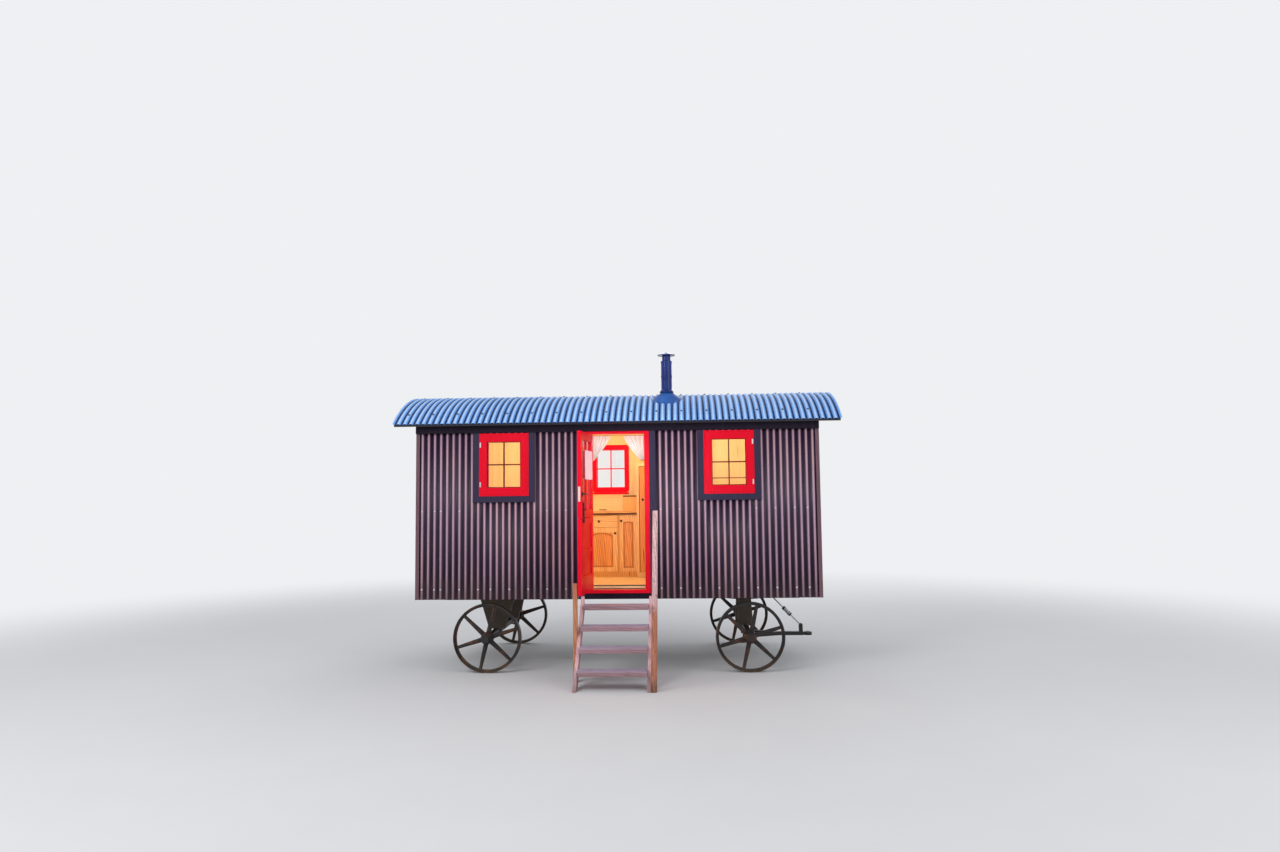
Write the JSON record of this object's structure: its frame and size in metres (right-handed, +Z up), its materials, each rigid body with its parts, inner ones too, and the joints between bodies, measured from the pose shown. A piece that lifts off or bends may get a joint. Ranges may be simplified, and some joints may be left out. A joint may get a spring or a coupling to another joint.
{
  "type": "shepherd's hut",
  "caption": "Wheeled hut with corrugated walls and barrel roof, stable door, small windows, steps, drawbar, flue and pine cupboards.",
  "frame": {"origin": "on the ground under the middle of the whole footprint, steps included", "axes": "+Z up, +X along the hut towards the drawbar, +Y from the door side to the back"},
  "size_m": [5.413, 3.406, 3.914],
  "materials": {
    "plum_sheet": "dark plum paint, satin, weathered",
    "grey_sheet": "blue-grey coated, matte",
    "pine": "oiled pine",
    "dark_board": "dark painted softwood",
    "red_paint": "bright red gloss paint on softwood",
    "pane": "clear",
    "iron": "near black with rust",
    "black_steel": "matte black",
    "grey_timber": "weathered bare softwood",
    "dark_timber": "weathered hardwood",
    "pole_wood": "peeled pole, varnished",
    "bright_steel": "satin",
    "lace": "white lace",
    "worktop_wood": "dark oiled hardwood"
  },
  "bodies": {
    "hut": {"back_sheets": "plum_sheet", "front_sheets": "plum_sheet", "end_sheets": "plum_sheet", "corner_angles": "plum_sheet", "roof_sheets": "grey_sheet", "roof_deck": "pine", "back_wall": "pine", "front_wall_left": "pine", "front_wall_right": "pine", "front_wall_over_door": "pine", "end_walls": "pine", "floor": "pine", "fascia_boards": "dark_board", "front_trim_boards": "dark_board", "door_skirt_board": "dark_board", "front_window_frames": "red_paint", "back_window_frame": "red_paint", "window_glass": "pane", "door_jambs": "red_paint", "door_head": "red_paint", "door_sill": "red_paint", "jamb_hinges": "bright_steel", "rear_axle": "black_steel", "rear_axle_posts": "dark_timber", "turntable_fixed_plate": "black_steel", "chassis_bearers": "dark_timber", "chassis_cross_members": "dark_timber", "step_stringers": "grey_timber", "step_treads": "grey_timber", "step_hand_pole": "pole_wood", "step_side_post": "grey_timber", "flue_pipe": "black_steel", "flue_cap": "black_steel", "flue_flashing": "black_steel", "base_cupboard": "pine", "worktop": "worktop_wood", "tall_cupboard": "pine", "door_curtains": "lace"},
    "fore_carriage": {"front_axle": "black_steel", "turntable_turning_plate": "black_steel", "fore_axle_posts": "dark_timber", "drawbar": "black_steel", "towing_eye": "iron", "drawbar_stay": "bright_steel"},
    "front_near_wheel": {"wheel_front_near": "iron"},
    "front_far_wheel": {"wheel_front_far": "iron"},
    "rear_near_wheel": {"wheel_rear_near": "iron"},
    "rear_far_wheel": {"wheel_rear_far": "iron"},
    "door": {"door_leaf_lower": "red_paint", "door_leaf_upper": "red_paint", "door_glass": "pane", "door_handles": "bright_steel", "door_hinges": "bright_steel", "door_leaf_curtain": "lace"},
    "left_cupboard_door": {"cupboard_door_left": "pine"},
    "right_cupboard_door": {"cupboard_door_right": "pine"},
    "tall_cupboard_front": {"tall_cupboard_door": "pine"},
    "drawer": {"cupboard_drawer": "pine"}
  },
  "joints": [
    {"name": "fore_carriage_turn", "type": "hinge", "parent": "hut", "child": "fore_carriage", "pos_m": [1.581, 0.44, 0.77], "axis": [0, 0, 1], "range_deg": [-35, 35]},
    {"name": "front_near_wheel_spin", "type": "hinge", "parent": "fore_carriage", "child": "front_near_wheel", "pos_m": [1.581, -0.603, 0.411], "axis": [0, 1, 0], "continuous": true},
    {"name": "front_far_wheel_spin", "type": "hinge", "parent": "fore_carriage", "child": "front_far_wheel", "pos_m": [1.581, 1.483, 0.411], "axis": [0, 1, 0], "continuous": true},
    {"name": "rear_near_wheel_spin", "type": "hinge", "parent": "hut", "child": "rear_near_wheel", "pos_m": [-1.581, -0.603, 0.411], "axis": [0, 1, 0], "continuous": true},
    {"name": "rear_far_wheel_spin", "type": "hinge", "parent": "hut", "child": "rear_far_wheel", "pos_m": [-1.581, 1.483, 0.411], "axis": [0, 1, 0], "continuous": true},
    {"name": "door_swing", "type": "hinge", "parent": "hut", "child": "door", "pos_m": [-0.338, -0.723, 1.9], "axis": [0, 0, 1], "range_deg": [-6, 96]},
    {"name": "left_cupboard_swing", "type": "hinge", "parent": "hut", "child": "left_cupboard_door", "pos_m": [-0.535, 0.869, 1.36], "axis": [0, 0, -1], "range_deg": [0, 95]},
    {"name": "right_cupboard_swing", "type": "hinge", "parent": "hut", "child": "right_cupboard_door", "pos_m": [0.17, 0.869, 1.45], "axis": [0, 0, 1], "range_deg": [0, 90]},
    {"name": "tall_cupboard_swing", "type": "hinge", "parent": "hut", "child": "tall_cupboard_front", "pos_m": [0.577, 0.724, 1.78], "axis": [0, 0, 1], "range_deg": [0, 95]},
    {"name": "drawer_slide", "type": "slide", "parent": "hut", "child": "drawer", "axis": [0, -1, 0], "range_m": [0, 0.33]}
  ]
}
